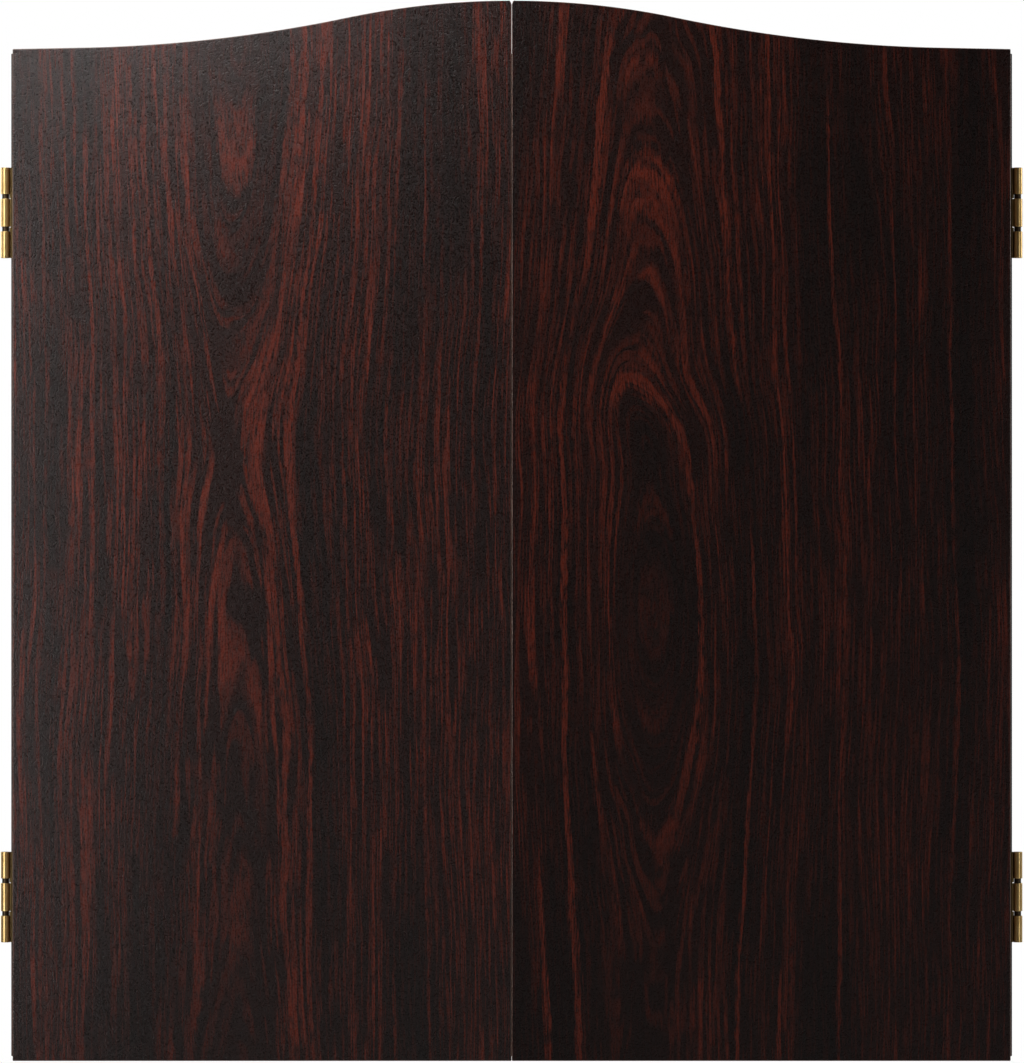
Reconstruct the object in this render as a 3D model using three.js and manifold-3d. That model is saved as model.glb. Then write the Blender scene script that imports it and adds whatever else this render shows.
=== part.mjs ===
// A wall-mounted dart board cabinet with two hinged doors. Millimetres, +Z up, the doors face -Y.
// The origin is on the wall plane, at the point where the bull's-eye of a board inside would lie.

import * as THREE from 'three';
import { mergeVertices } from 'three/addons/utils/BufferGeometryUtils.js';
import Module from 'manifold-3d';

const wasm = await Module();
wasm.setup();

// Driving dimensions

const CARCASS_WIDTH = 543;
const CARCASS_HEIGHT = 544;
const CARCASS_DEPTH = 66;
const BOARD = 12;

const PANEL_THICKNESS = 6;
const PANEL_REBATE = 6;
const PANEL_PLAY = 0.25;
const WALL_HOLE_RADIUS = 2.5;
const WALL_HOLE_X = 203;
const WALL_HOLE_Z = 200;

const DOOR_THICKNESS = 12;
const DOOR_GAP = 0.6;
const DOOR_PAIR_WIDTH = 539;
const DOOR_OVERLAP = 1.25;
const CROWN_RISE = 26.2;
const CROWN_RADIUS = 433;
const CROWN_HALF_CHORD = 88.8;
const SWEEP_RADIUS = 772;
const SWEEP_END = 231.6;

const LEAF_THICKNESS = 0.75;
const LEAF_GAP = 0.5;
const LEAF_WIDTH = 10;
const HINGE_OFFSET = 185.5;
const KNUCKLE_RADIUS = 2.6;
const KNUCKLE_HEIGHT = 14.4;
const MIDDLE_KNUCKLE_HEIGHT = 15.2;
const KNUCKLE_GAP = 2.5;
const KNUCKLE_CLEARANCE = 0.3;
const PIN_RADIUS = 1.9;
const PIN_BORE_RADIUS = 2;
const BARREL_SEGMENTS = 24;

const CUT_GAP = 0.3;
const CUT_MARGIN = 1;
const ARC_SEGMENTS = 16;
const SCREW_SEGMENTS = 12;
const SCREW_TIP = { length: 2, taper: 0.3 };
const LONG_SCREW = { head: 2.6, shank: 1.25, length: 9.5 };
const LEAF_SCREW_SPACING = 30;
const SHORT_SCREW = { head: 2.6, shank: 1.25, length: 5 };

const BRACKET_WIDTH = 62;
const BRACKET_HEIGHT = 56;
const BRACKET_SHEET = 1.5;
const BRACKET_STANDOFF = 6;
const BRACKET_CENTRE_HALF = 17;
const BRACKET_STEP = 3;
const BRACKET_BEND = 1;
const BRACKET_SLOT_RADIUS = 3.5;
const BRACKET_BELOW_CENTRE = 18;
const BRACKET_SCREW_X = 25.5;
const BRACKET_SCREW_Z = [-8, 28];

const SCOREBOARD = { width: 190, height: 340, thickness: 2 };
const SCOREBOARD_FRAME = { lip: 7, thickness: 3 };
const SCOREBOARD_CENTRE = { x: 136, z: 35 };

const HOLDER = { width: 84, flange: 22, shelf: 24, sheet: 3 };
const HOLDER_CENTRE_X = 205;
const HOLDER_SHELF_TOP = -213;
const HOLDER_HOLE_RADIUS = 3.5;
const HOLDER_HOLE_SPACING = 24;
const HOLDER_HOLE_FROM_DOOR = 15;
const HOLDER_SCREW_SPACING = 60;

const CATCH = { width: 48, height: 14, depth: 16, plateDepth: 14, plate: 2.5 };
const MAGNET = { width: 15, height: 8, depth: 8 };
const MAGNET_CENTRE_X = 13;
const MAGNET_PROUD = 0.75;
const STRIKE = { width: 18, height: 12, thickness: 1 };

// Planes and lines that follow from them

const HALF_WIDTH = CARCASS_WIDTH / 2;
const HALF_HEIGHT = CARCASS_HEIGHT / 2;
const FRONT_PLANE = -CARCASS_DEPTH;
const PANEL_FRONT = -PANEL_THICKNESS;
const DOOR_BACK = FRONT_PLANE - 2 * LEAF_THICKNESS - LEAF_GAP;
const DOOR_BOTTOM = -HALF_HEIGHT - DOOR_OVERLAP;
const DOOR_SHOULDER = HALF_HEIGHT + DOOR_OVERLAP;
const HINGE_AXIS_X = HALF_WIDTH + KNUCKLE_CLEARANCE + KNUCKLE_RADIUS;
const HINGE_AXIS_Y = FRONT_PLANE - LEAF_THICKNESS - LEAF_GAP / 2;
const LEAF_SCREW_X = HALF_WIDTH - LEAF_WIDTH / 2;

const SIDES = [
  { side: 'left', sign: -1 },
  { side: 'right', sign: 1 },
];
const LEVELS = [
  { level: 'lower', z: -HINGE_OFFSET },
  { level: 'upper', z: HINGE_OFFSET },
];

// Materials

const rosewood = new THREE.MeshStandardMaterial({ color: 0x3a2420, roughness: 0.45, metalness: 0 });
const blackBoard = new THREE.MeshStandardMaterial({ color: 0x2a2220, roughness: 0.7, metalness: 0 });
const brass = new THREE.MeshStandardMaterial({ color: 0xb08a4c, roughness: 0.35, metalness: 1 });
const steel = new THREE.MeshStandardMaterial({ color: 0x9a9a9c, roughness: 0.35, metalness: 1 });
const blackPaint = new THREE.MeshStandardMaterial({ color: 0x1c1c1d, roughness: 0.5, metalness: 0.2 });
const dryWipe = new THREE.MeshStandardMaterial({ color: 0xf2f2ee, roughness: 0.2, metalness: 0 });
const blackPlastic = new THREE.MeshStandardMaterial({ color: 0x202020, roughness: 0.5, metalness: 0 });
const ferrite = new THREE.MeshStandardMaterial({ color: 0x3b3a3a, roughness: 0.6, metalness: 0.3 });

// Solids

function toSolid(geometry) {
  geometry.deleteAttribute('normal');
  geometry.deleteAttribute('uv');
  const merged = mergeVertices(geometry);
  const corners = merged.index.array;
  const triangles = [];
  for (let i = 0; i < corners.length; i += 3) {
    const [a, b, c] = corners.slice(i, i + 3);
    if (a !== b && b !== c && c !== a) {
      triangles.push(a, b, c);
    }
  }
  return new wasm.Manifold(new wasm.Mesh({
    numProp: 3,
    vertProperties: Float32Array.from(merged.attributes.position.array),
    triVerts: Uint32Array.from(triangles),
  }));
}

function namedMesh(name, solid, material) {
  const { vertProperties, triVerts } = solid.getMesh();
  const geometry = new THREE.BufferGeometry();
  geometry.setAttribute('position', new THREE.BufferAttribute(vertProperties, 3));
  geometry.setIndex(new THREE.BufferAttribute(triVerts, 1));
  const mesh = new THREE.Mesh(geometry, material);
  mesh.name = name;
  return mesh;
}

function block([x0, x1], [y0, y1], [z0, z1]) {
  const geometry = new THREE.BoxGeometry(Math.abs(x1 - x0), Math.abs(y1 - y0), Math.abs(z1 - z0));
  geometry.translate((x0 + x1) / 2, (y0 + y1) / 2, (z0 + z1) / 2);
  return toSolid(geometry);
}

function polygon(points) {
  return new THREE.Shape(points.map(([x, y]) => new THREE.Vector2(x, y)));
}

// A plan outline in X and Y, from one height to another.
function plate(shape, [z0, z1]) {
  const geometry = new THREE.ExtrudeGeometry(shape, { depth: z1 - z0, bevelEnabled: false });
  geometry.translate(0, 0, z0);
  return toSolid(geometry);
}

// An upright outline in X and Z, from the plane y = back towards the front.
function panel(shape, back, thickness) {
  const geometry = new THREE.ExtrudeGeometry(shape, {
    depth: thickness,
    bevelEnabled: false,
    curveSegments: ARC_SEGMENTS,
  });
  geometry.rotateX(Math.PI / 2);
  geometry.translate(0, back, 0);
  return toSolid(geometry);
}

// A section in Y and Z, along X.
function rail(shape, [x0, x1]) {
  const geometry = new THREE.ExtrudeGeometry(shape, { depth: x1 - x0, bevelEnabled: false });
  const sectionToFrame = new THREE.Matrix4().makeBasis(
    new THREE.Vector3(0, 1, 0),
    new THREE.Vector3(0, 0, 1),
    new THREE.Vector3(1, 0, 0),
  );
  geometry.applyMatrix4(sectionToFrame);
  geometry.translate(x0, 0, 0);
  return toSolid(geometry);
}

// A turned solid about Z, from [radius, height] pairs that start and end on the axis.
function turned(profile, segments) {
  return toSolid(new THREE.LatheGeometry(
    profile.map(([radius, height]) => new THREE.Vector2(radius, height)),
    segments,
  ).rotateX(Math.PI / 2));
}

function rod(radius, [z0, z1], segments) {
  return turned([[0, z0], [radius, z0], [radius, z1], [0, z1]], segments);
}

function cut(solid, ...tools) {
  return tools.reduce((rest, tool) => rest.subtract(tool), solid);
}

// Countersunk screws. They are drawn along +Z with the head's face at z = 0.

function screwSolid({ head, shank, length }) {
  const neck = head - shank;
  return turned([
    [0, -length],
    [shank * SCREW_TIP.taper, -length],
    [shank, -length + SCREW_TIP.length],
    [shank, -neck],
    [head, 0],
    [0, 0],
  ], SCREW_SEGMENTS);
}

// The hole that a screw needs, with a countersink, open above the head.
function screwHole({ head, shank, length }) {
  const neck = head - shank;
  const hole = shank + CUT_GAP;
  return turned([
    [0, -length - CUT_GAP],
    [hole, -length - CUT_GAP],
    [hole, -neck],
    [head + CUT_GAP, 0],
    [head + CUT_GAP, CUT_MARGIN],
    [0, CUT_MARGIN],
  ], SCREW_SEGMENTS);
}

// Screw heads look towards -Y on the carcass, towards +Y on the doors, and down under the top board.
const HEAD_TO_FRONT = new THREE.Euler(Math.PI / 2, 0, 0);
const HEAD_TO_BACK = new THREE.Euler(-Math.PI / 2, 0, 0);
const HEAD_DOWN = new THREE.Euler(Math.PI, 0, 0);

function placement(position, rotation) {
  return new THREE.Matrix4().compose(
    new THREE.Vector3(...position),
    new THREE.Quaternion().setFromEuler(rotation),
    new THREE.Vector3(1, 1, 1),
  );
}

function holeAt(screw, position, rotation) {
  return screwHole(screw).transform(placement(position, rotation).elements);
}

function screwMesh(name, screw, position, rotation, material) {
  const mesh = namedMesh(name, screwSolid(screw), material);
  mesh.position.set(...position);
  mesh.rotation.copy(rotation);
  return mesh;
}

// Where each fastener goes

function hingeScrewPlaces(sign, z) {
  return [-1, 1].map((end) => ({ x: sign * LEAF_SCREW_X, z: z + end * LEAF_SCREW_SPACING / 2 }));
}

function bracketScrewPlaces() {
  return SIDES.flatMap(({ sign }) => BRACKET_SCREW_Z.map((z) => ({ x: sign * BRACKET_SCREW_X, z })));
}

function holderScrewPlaces(sign) {
  const z = HOLDER_SHELF_TOP + HOLDER.flange / 2;
  return [-1, 1].map((end) => ({ x: sign * HOLDER_CENTRE_X + end * HOLDER_SCREW_SPACING / 2, z }));
}

const CARCASS_LEAF_SCREW_Y = FRONT_PLANE - LEAF_THICKNESS;
const DOOR_LEAF_SCREW_Y = DOOR_BACK + LEAF_THICKNESS;
const BRACKET_SCREW_Y = PANEL_FRONT - BRACKET_SHEET;
const HOLDER_SCREW_Y = DOOR_BACK + HOLDER.sheet;
const STRIKE_Y = DOOR_BACK + STRIKE.thickness;
const CATCH_TOP = HALF_HEIGHT - BOARD;
const CATCH_PLATE_BOTTOM = CATCH_TOP - CATCH.plate;
const CATCH_SCREW_X = 15;
const CATCH_SCREW_Y = FRONT_PLANE + CATCH.depth + CATCH.plateDepth / 2;
const STRIKE_Z = CATCH_TOP - CATCH.height / 2;

// Carcass

// The rebate for the back panel stops short of both ends, so that it doesn't show in the corner joints.
function sideBoard({ side, sign }) {
  const outer = sign * HALF_WIDTH;
  const inner = sign * (HALF_WIDTH - BOARD);
  const rebateX = sign * (HALF_WIDTH - BOARD + PANEL_REBATE);
  const rebateZ = HALF_HEIGHT - BOARD + PANEL_REBATE;
  const board = block([inner, outer], [FRONT_PLANE, 0], [-HALF_HEIGHT, HALF_HEIGHT]);
  const rebate = block(
    [inner - sign * CUT_MARGIN, rebateX],
    [PANEL_FRONT, CUT_MARGIN],
    [-rebateZ, rebateZ],
  );
  const holes = LEVELS.flatMap(({ z }) => hingeScrewPlaces(sign, z)).map((place) => (
    holeAt(LONG_SCREW, [place.x, CARCASS_LEAF_SCREW_Y, place.z], HEAD_TO_FRONT)));
  return namedMesh(`${side}_side`, cut(board, rebate, ...holes), rosewood);
}

function endBoard(name, sign, holes) {
  const outer = sign * HALF_HEIGHT;
  const inner = sign * (HALF_HEIGHT - BOARD);
  const rebate = sign * (HALF_HEIGHT - BOARD + PANEL_REBATE);
  const section = polygon([
    [0, outer],
    [FRONT_PLANE, outer],
    [FRONT_PLANE, inner],
    [PANEL_FRONT, inner],
    [PANEL_FRONT, rebate],
    [0, rebate],
  ]);
  const reach = HALF_WIDTH - BOARD;
  return namedMesh(name, cut(rail(section, [-reach, reach]), ...holes), rosewood);
}

function topBoard() {
  const holes = SIDES.map(({ sign }) => (
    holeAt(LONG_SCREW, [sign * CATCH_SCREW_X, CATCH_SCREW_Y, CATCH_PLATE_BOTTOM], HEAD_DOWN)));
  return endBoard('top_board', 1, holes);
}

function backPanel() {
  const halfWidth = HALF_WIDTH - BOARD + PANEL_REBATE - PANEL_PLAY;
  const halfHeight = HALF_HEIGHT - BOARD + PANEL_REBATE - PANEL_PLAY;
  const wallHoles = SIDES.flatMap(({ sign }) => [-1, 1].map((end) => (
    rod(WALL_HOLE_RADIUS, [-CUT_MARGIN, PANEL_THICKNESS + CUT_MARGIN], ARC_SEGMENTS)
      .rotate([90, 0, 0])
      .translate([sign * WALL_HOLE_X, 0, end * WALL_HOLE_Z]))));
  const screwHoles = bracketScrewPlaces().map(({ x, z }) => (
    holeAt(SHORT_SCREW, [x, BRACKET_SCREW_Y, z], HEAD_TO_FRONT)));
  const sheet = block([-halfWidth, halfWidth], [PANEL_FRONT, 0], [-halfHeight, halfHeight]);
  return namedMesh('back_panel', cut(sheet, ...wallHoles, ...screwHoles), blackBoard);
}

// Doors

// The top edge falls from the crown on a convex arc, turns up again on a flatter concave arc, and runs
// out to the shoulder in a straight line.
function doorOutline(sign) {
  const slope = Math.asin(CROWN_HALF_CHORD / CROWN_RADIUS);
  const crownTop = DOOR_SHOULDER + CROWN_RISE;
  const sweepX = CROWN_HALF_CHORD + SWEEP_RADIUS * Math.sin(slope);
  const crownZ = crownTop - CROWN_RADIUS;
  const sweepZ = crownZ + (CROWN_RADIUS + SWEEP_RADIUS) * Math.cos(slope);
  const innerX = DOOR_GAP / 2;
  const outerX = DOOR_PAIR_WIDTH / 2;
  const crownStart = Math.acos(innerX / CROWN_RADIUS);
  const crownEnd = Math.PI / 2 - slope;
  const sweepStart = -Math.PI / 2 - slope;
  const sweepEnd = -Math.acos((SWEEP_END - sweepX) / SWEEP_RADIUS);
  const shape = new THREE.Shape();
  shape.moveTo(innerX, DOOR_BOTTOM);
  shape.lineTo(innerX, crownZ + Math.sqrt(CROWN_RADIUS ** 2 - innerX ** 2));
  shape.absarc(0, crownZ, CROWN_RADIUS, crownStart, crownEnd, true);
  shape.absarc(sweepX, sweepZ, SWEEP_RADIUS, sweepStart, sweepEnd, false);
  shape.lineTo(outerX, DOOR_SHOULDER);
  shape.lineTo(outerX, DOOR_BOTTOM);
  shape.closePath();
  return sign > 0 ? shape : mirrored(shape);
}

function mirrored(shape) {
  const points = shape.getPoints(ARC_SEGMENTS);
  return new THREE.Shape(points.map(({ x, y }) => new THREE.Vector2(-x, y)));
}

function doorPanel({ side, sign }) {
  const hingeHoles = LEVELS.flatMap(({ z }) => hingeScrewPlaces(sign, z)).map((place) => (
    holeAt(LONG_SCREW, [place.x, DOOR_LEAF_SCREW_Y, place.z], HEAD_TO_BACK)));
  const holderHoles = holderScrewPlaces(sign).map(({ x, z }) => (
    holeAt(LONG_SCREW, [x, HOLDER_SCREW_Y, z], HEAD_TO_BACK)));
  const strikeHole = holeAt(SHORT_SCREW, [sign * MAGNET_CENTRE_X, STRIKE_Y, STRIKE_Z], HEAD_TO_BACK);
  const leaf = panel(doorOutline(sign), DOOR_BACK, DOOR_THICKNESS);
  return namedMesh(`${side}_door`, cut(leaf, ...hingeHoles, ...holderHoles, strikeHole), rosewood);
}

function strikePlate({ side, sign }) {
  const x = sign * MAGNET_CENTRE_X;
  const sheet = block(
    [x - STRIKE.width / 2, x + STRIKE.width / 2],
    [DOOR_BACK, STRIKE_Y],
    [STRIKE_Z - STRIKE.height / 2, STRIKE_Z + STRIKE.height / 2],
  );
  const hole = holeAt(SHORT_SCREW, [x, STRIKE_Y, STRIKE_Z], HEAD_TO_BACK);
  return [
    namedMesh(`${side}_strike_plate`, cut(sheet, hole), steel),
    screwMesh(`${side}_strike_screw`, SHORT_SCREW, [x, STRIKE_Y, STRIKE_Z], HEAD_TO_BACK, steel),
  ];
}

function scoreboard({ side, sign }) {
  const x = sign * SCOREBOARD_CENTRE.x;
  const halfWidth = SCOREBOARD.width / 2;
  const halfHeight = SCOREBOARD.height / 2;
  const board = block(
    [x - halfWidth, x + halfWidth],
    [DOOR_BACK, DOOR_BACK + SCOREBOARD.thickness],
    [SCOREBOARD_CENTRE.z - halfHeight, SCOREBOARD_CENTRE.z + halfHeight],
  );
  const [outer, opening] = [SCOREBOARD_FRAME.lip, PANEL_PLAY].map((margin) => block(
    [x - halfWidth - margin, x + halfWidth + margin],
    [DOOR_BACK, DOOR_BACK + SCOREBOARD_FRAME.thickness],
    [SCOREBOARD_CENTRE.z - halfHeight - margin, SCOREBOARD_CENTRE.z + halfHeight + margin],
  ));
  return [
    namedMesh(`${side}_scoreboard`, board, dryWipe),
    namedMesh(`${side}_scoreboard_frame`, cut(outer, opening), rosewood),
  ];
}

// An angle strip: the flange lies on the door and the shelf holds three darts, points down.
function dartHolder({ side, sign }) {
  const section = polygon([
    [DOOR_BACK, HOLDER_SHELF_TOP - HOLDER.sheet],
    [DOOR_BACK + HOLDER.shelf, HOLDER_SHELF_TOP - HOLDER.sheet],
    [DOOR_BACK + HOLDER.shelf, HOLDER_SHELF_TOP],
    [DOOR_BACK + HOLDER.sheet, HOLDER_SHELF_TOP],
    [DOOR_BACK + HOLDER.sheet, HOLDER_SHELF_TOP + HOLDER.flange],
    [DOOR_BACK, HOLDER_SHELF_TOP + HOLDER.flange],
  ]);
  const centre = sign * HOLDER_CENTRE_X;
  const holeY = DOOR_BACK + HOLDER_HOLE_FROM_DOOR;
  const dartHoles = [-1, 0, 1].map((place) => (
    rod(HOLDER_HOLE_RADIUS, [-HOLDER.sheet - CUT_MARGIN, CUT_MARGIN], BARREL_SEGMENTS)
      .translate([centre + place * HOLDER_HOLE_SPACING, holeY, HOLDER_SHELF_TOP])));
  const places = holderScrewPlaces(sign);
  const screwHoles = places.map(({ x, z }) => holeAt(LONG_SCREW, [x, HOLDER_SCREW_Y, z], HEAD_TO_BACK));
  const strip = rail(section, [centre - HOLDER.width / 2, centre + HOLDER.width / 2]);
  return [
    namedMesh(`${side}_dart_holder`, cut(strip, ...dartHoles, ...screwHoles), blackPlastic),
    ...places.map(({ x, z }, index) => screwMesh(
      `${side}_dart_holder_screw_${index + 1}`, LONG_SCREW, [x, HOLDER_SCREW_Y, z], HEAD_TO_BACK, steel)),
  ];
}

// Hinges. A leaf is a flat plate whose tabs run into its own knuckles; it is notched where the other
// leaf's knuckle turns. The body leaf's webs close the gaps between the knuckles, up to the pin.
// Positions are about the pin, which stands on the group's origin.

const KNUCKLE_PITCH = (MIDDLE_KNUCKLE_HEIGHT + KNUCKLE_HEIGHT) / 2 + KNUCKLE_GAP;
const HINGE_HALF_HEIGHT = KNUCKLE_PITCH + KNUCKLE_HEIGHT / 2;
const BODY_KNUCKLES = [-1, 1].map((end) => [
  end * KNUCKLE_PITCH - KNUCKLE_HEIGHT / 2,
  end * KNUCKLE_PITCH + KNUCKLE_HEIGHT / 2,
]);
const DOOR_KNUCKLES = [[-MIDDLE_KNUCKLE_HEIGHT / 2, MIDDLE_KNUCKLE_HEIGHT / 2]];
const WEBS = [-1, 1].map((end) => [
  end * (MIDDLE_KNUCKLE_HEIGHT / 2 + CUT_GAP),
  end * (MIDDLE_KNUCKLE_HEIGHT / 2 + KNUCKLE_GAP + CUT_MARGIN),
]);

function hingeLeaf(sign, towards, knuckles, webs) {
  const near = towards * LEAF_GAP / 2;
  const far = towards * (LEAF_GAP / 2 + LEAF_THICKNESS);
  const edge = -sign * (KNUCKLE_RADIUS + KNUCKLE_CLEARANCE);
  const end = edge - sign * LEAF_WIDTH;
  const sheet = block([edge, end], [near, far], [-HINGE_HALF_HEIGHT, HINGE_HALF_HEIGHT]);
  const whole = knuckles.reduce((rest, reach) => rest
    .add(block([0, edge], [near, far], reach))
    .add(rod(KNUCKLE_RADIUS, reach, BARREL_SEGMENTS)), sheet);
  const webEdge = -sign * (PIN_RADIUS + CUT_GAP);
  const webbed = webs.reduce((rest, reach) => rest.add(block([webEdge, edge], [near, far], reach)), whole);
  const boreReach = HINGE_HALF_HEIGHT + CUT_MARGIN;
  const bore = rod(PIN_BORE_RADIUS, [-boreReach, boreReach], BARREL_SEGMENTS);
  const screwX = sign * (LEAF_SCREW_X - HINGE_AXIS_X);
  const rotation = towards > 0 ? HEAD_TO_FRONT : HEAD_TO_BACK;
  const holes = [-1, 1].map((place) => (
    holeAt(LONG_SCREW, [screwX, near, place * LEAF_SCREW_SPACING / 2], rotation)));
  return cut(webbed, bore, ...holes);
}

function hinge({ side, sign }, { level, z }) {
  const group = new THREE.Group();
  group.position.set(sign * HINGE_AXIS_X, HINGE_AXIS_Y, z);
  const name = `${side}_${level}_hinge`;
  const screwX = sign * (LEAF_SCREW_X - HINGE_AXIS_X);
  const pin = rod(PIN_RADIUS, [-HINGE_HALF_HEIGHT, HINGE_HALF_HEIGHT], BARREL_SEGMENTS);
  group.add(
    namedMesh(`${name}_body_leaf`, hingeLeaf(sign, 1, BODY_KNUCKLES, WEBS), brass),
    namedMesh(`${name}_door_leaf`, hingeLeaf(sign, -1, DOOR_KNUCKLES, []), brass),
    namedMesh(`${name}_pin`, pin, steel),
  );
  [-1, 1].forEach((end, index) => {
    const height = end * LEAF_SCREW_SPACING / 2;
    group.add(
      screwMesh(`${name}_body_screw_${index + 1}`, LONG_SCREW,
        [screwX, LEAF_GAP / 2, height], HEAD_TO_FRONT, brass),
      screwMesh(`${name}_door_screw_${index + 1}`, LONG_SCREW,
        [screwX, -LEAF_GAP / 2, height], HEAD_TO_BACK, brass),
    );
  });
  return group;
}

// The U bracket: flanges on the back panel, and a raised, slotted centre that holds the board's screw.

function boardBracket() {
  const flange = [PANEL_FRONT, PANEL_FRONT - BRACKET_SHEET];
  const raised = [PANEL_FRONT - BRACKET_STANDOFF, PANEL_FRONT - BRACKET_STANDOFF - BRACKET_SHEET];
  const half = BRACKET_WIDTH / 2;
  const centre = BRACKET_CENTRE_HALF;
  const foot = centre + BRACKET_STEP;
  const rightFace = [[foot, flange[0]], [half, flange[0]], [half, flange[1]]];
  const rightStep = [[foot + BRACKET_BEND, flange[1]], [centre + BRACKET_BEND, raised[1]]];
  const leftStep = [[-centre - BRACKET_BEND, raised[1]], [-foot - BRACKET_BEND, flange[1]]];
  const leftFace = [[-half, flange[1]], [-half, flange[0]], [-foot, flange[0]]];
  const section = polygon([
    ...rightFace, ...rightStep, ...leftStep, ...leftFace, [-centre, raised[0]], [centre, raised[0]],
  ]);
  const reach = [-BRACKET_BELOW_CENTRE, BRACKET_HEIGHT - BRACKET_BELOW_CENTRE];
  const slotY = [raised[0] + CUT_MARGIN, raised[1] - CUT_MARGIN];
  const slotEnd = rod(BRACKET_SLOT_RADIUS, [0, slotY[0] - slotY[1]], BARREL_SEGMENTS)
    .rotate([90, 0, 0])
    .translate([0, slotY[0], 0]);
  const slot = block(
    [-BRACKET_SLOT_RADIUS, BRACKET_SLOT_RADIUS],
    slotY,
    [0, reach[1] + CUT_MARGIN],
  ).add(slotEnd);
  const places = bracketScrewPlaces();
  const holes = places.map(({ x, z }) => holeAt(SHORT_SCREW, [x, BRACKET_SCREW_Y, z], HEAD_TO_FRONT));
  return [
    namedMesh('board_bracket', cut(plate(section, reach), slot, ...holes), blackPaint),
    ...places.map(({ x, z }, index) => screwMesh(
      `board_bracket_screw_${index + 1}`, SHORT_SCREW, [x, BRACKET_SCREW_Y, z], HEAD_TO_FRONT, steel)),
  ];
}

// The double magnetic catch under the top board

function doorCatch() {
  const halfWidth = CATCH.width / 2;
  const back = FRONT_PLANE + CATCH.depth;
  const magnetFront = FRONT_PLANE - MAGNET_PROUD;
  const magnetSpace = ({ sign }, margin, front) => {
    const x = sign * MAGNET_CENTRE_X;
    const halfReach = MAGNET.width / 2 + margin;
    const halfRise = MAGNET.height / 2 + margin;
    return block(
      [x - halfReach, x + halfReach],
      [front, magnetFront + MAGNET.depth + margin],
      [STRIKE_Z - halfRise, STRIKE_Z + halfRise],
    );
  };
  const across = [-halfWidth, halfWidth];
  const lug = block(across, [back - CUT_MARGIN, back + CATCH.plateDepth], [CATCH_PLATE_BOTTOM, CATCH_TOP]);
  const housing = block(across, [FRONT_PLANE, back], [CATCH_TOP - CATCH.height, CATCH_TOP]).add(lug);
  const places = SIDES.map((place) => ({
    ...place, position: [place.sign * CATCH_SCREW_X, CATCH_SCREW_Y, CATCH_PLATE_BOTTOM],
  }));
  const holes = places.map(({ position }) => holeAt(LONG_SCREW, position, HEAD_DOWN));
  const pockets = SIDES.map((place) => magnetSpace(place, CUT_GAP, magnetFront - CUT_MARGIN));
  return [
    namedMesh('catch_housing', cut(housing, ...pockets, ...holes), blackPlastic),
    ...SIDES.map((place) => (
      namedMesh(`${place.side}_catch_magnet`, magnetSpace(place, 0, magnetFront), ferrite))),
    ...places.map(({ side, position }) => (
      screwMesh(`${side}_catch_screw`, LONG_SCREW, position, HEAD_DOWN, steel))),
  ];
}

// Assembly

const cabinet = new THREE.Group();

const carcass = new THREE.Group();
carcass.add(...SIDES.map(sideBoard), topBoard(), endBoard('bottom_board', -1, []), backPanel());
carcass.add(...boardBracket(), ...doorCatch());
cabinet.add(carcass);

for (const place of SIDES) {
  const door = new THREE.Group();
  door.add(doorPanel(place), ...strikePlate(place), ...scoreboard(place), ...dartHolder(place));
  cabinet.add(door, ...LEVELS.map((level) => hinge(place, level)));
}

export default cabinet;
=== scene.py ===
"""The looks of a wall-hung dart board cabinet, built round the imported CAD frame.

Metres, +Z up. The doors face -Y. Lengths written as N * MM are in millimetres.
"""

import math

import bmesh
import bpy
from mathutils import Matrix, Vector


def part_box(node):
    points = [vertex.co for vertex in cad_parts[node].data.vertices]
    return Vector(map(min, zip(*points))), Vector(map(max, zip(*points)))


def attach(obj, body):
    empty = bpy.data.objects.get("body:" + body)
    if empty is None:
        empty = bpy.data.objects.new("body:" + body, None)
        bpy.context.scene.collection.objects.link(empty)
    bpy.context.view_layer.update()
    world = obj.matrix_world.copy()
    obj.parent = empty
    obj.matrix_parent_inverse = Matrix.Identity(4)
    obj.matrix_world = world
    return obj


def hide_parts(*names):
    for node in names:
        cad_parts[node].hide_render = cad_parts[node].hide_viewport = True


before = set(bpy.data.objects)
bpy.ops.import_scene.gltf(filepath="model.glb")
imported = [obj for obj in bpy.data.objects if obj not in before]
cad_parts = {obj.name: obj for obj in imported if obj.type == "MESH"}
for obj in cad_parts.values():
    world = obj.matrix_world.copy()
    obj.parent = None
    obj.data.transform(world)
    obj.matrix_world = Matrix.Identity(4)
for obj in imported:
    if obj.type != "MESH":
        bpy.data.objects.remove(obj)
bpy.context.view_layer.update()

MM = 0.001
SIDES = {"left": -1, "right": 1}
LEVELS = ("lower", "upper")

# ---------------------------------------------------------------------------------------------------
# Camera, light and floor

VIEW_DISTANCE = 3.0
VIEW_HEIGHT = 0.574
VIEW_ACROSS = 0.0002
VIEW_UP = 0.0127
SENSOR = 36.0
FLOOR_LEVEL = -1.1
FLOOR_SIZE = 7.0
FLOOR_GLOW = 0.62
DIFFUSE_GLOW = (0.06, 0.8)
GLOSSY_GLOW = (0.02, 0.5)
SHOWN_GLOW = (1.0, 1.0)


def make_camera():
    """A level camera, square on to the doors."""
    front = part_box("left_door")[0].y
    data = bpy.data.cameras.new("camera")
    data.sensor_width = SENSOR
    data.lens = SENSOR * VIEW_DISTANCE / VIEW_HEIGHT
    data.clip_start = 0.05
    data.clip_end = 100.0
    camera = bpy.data.objects.new("camera", data)
    camera.location = (VIEW_ACROSS, front - VIEW_DISTANCE, VIEW_UP)
    camera.rotation_euler = (math.pi / 2, 0.0, 0.0)
    bpy.context.scene.collection.objects.link(camera)
    bpy.context.scene.camera = camera


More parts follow.
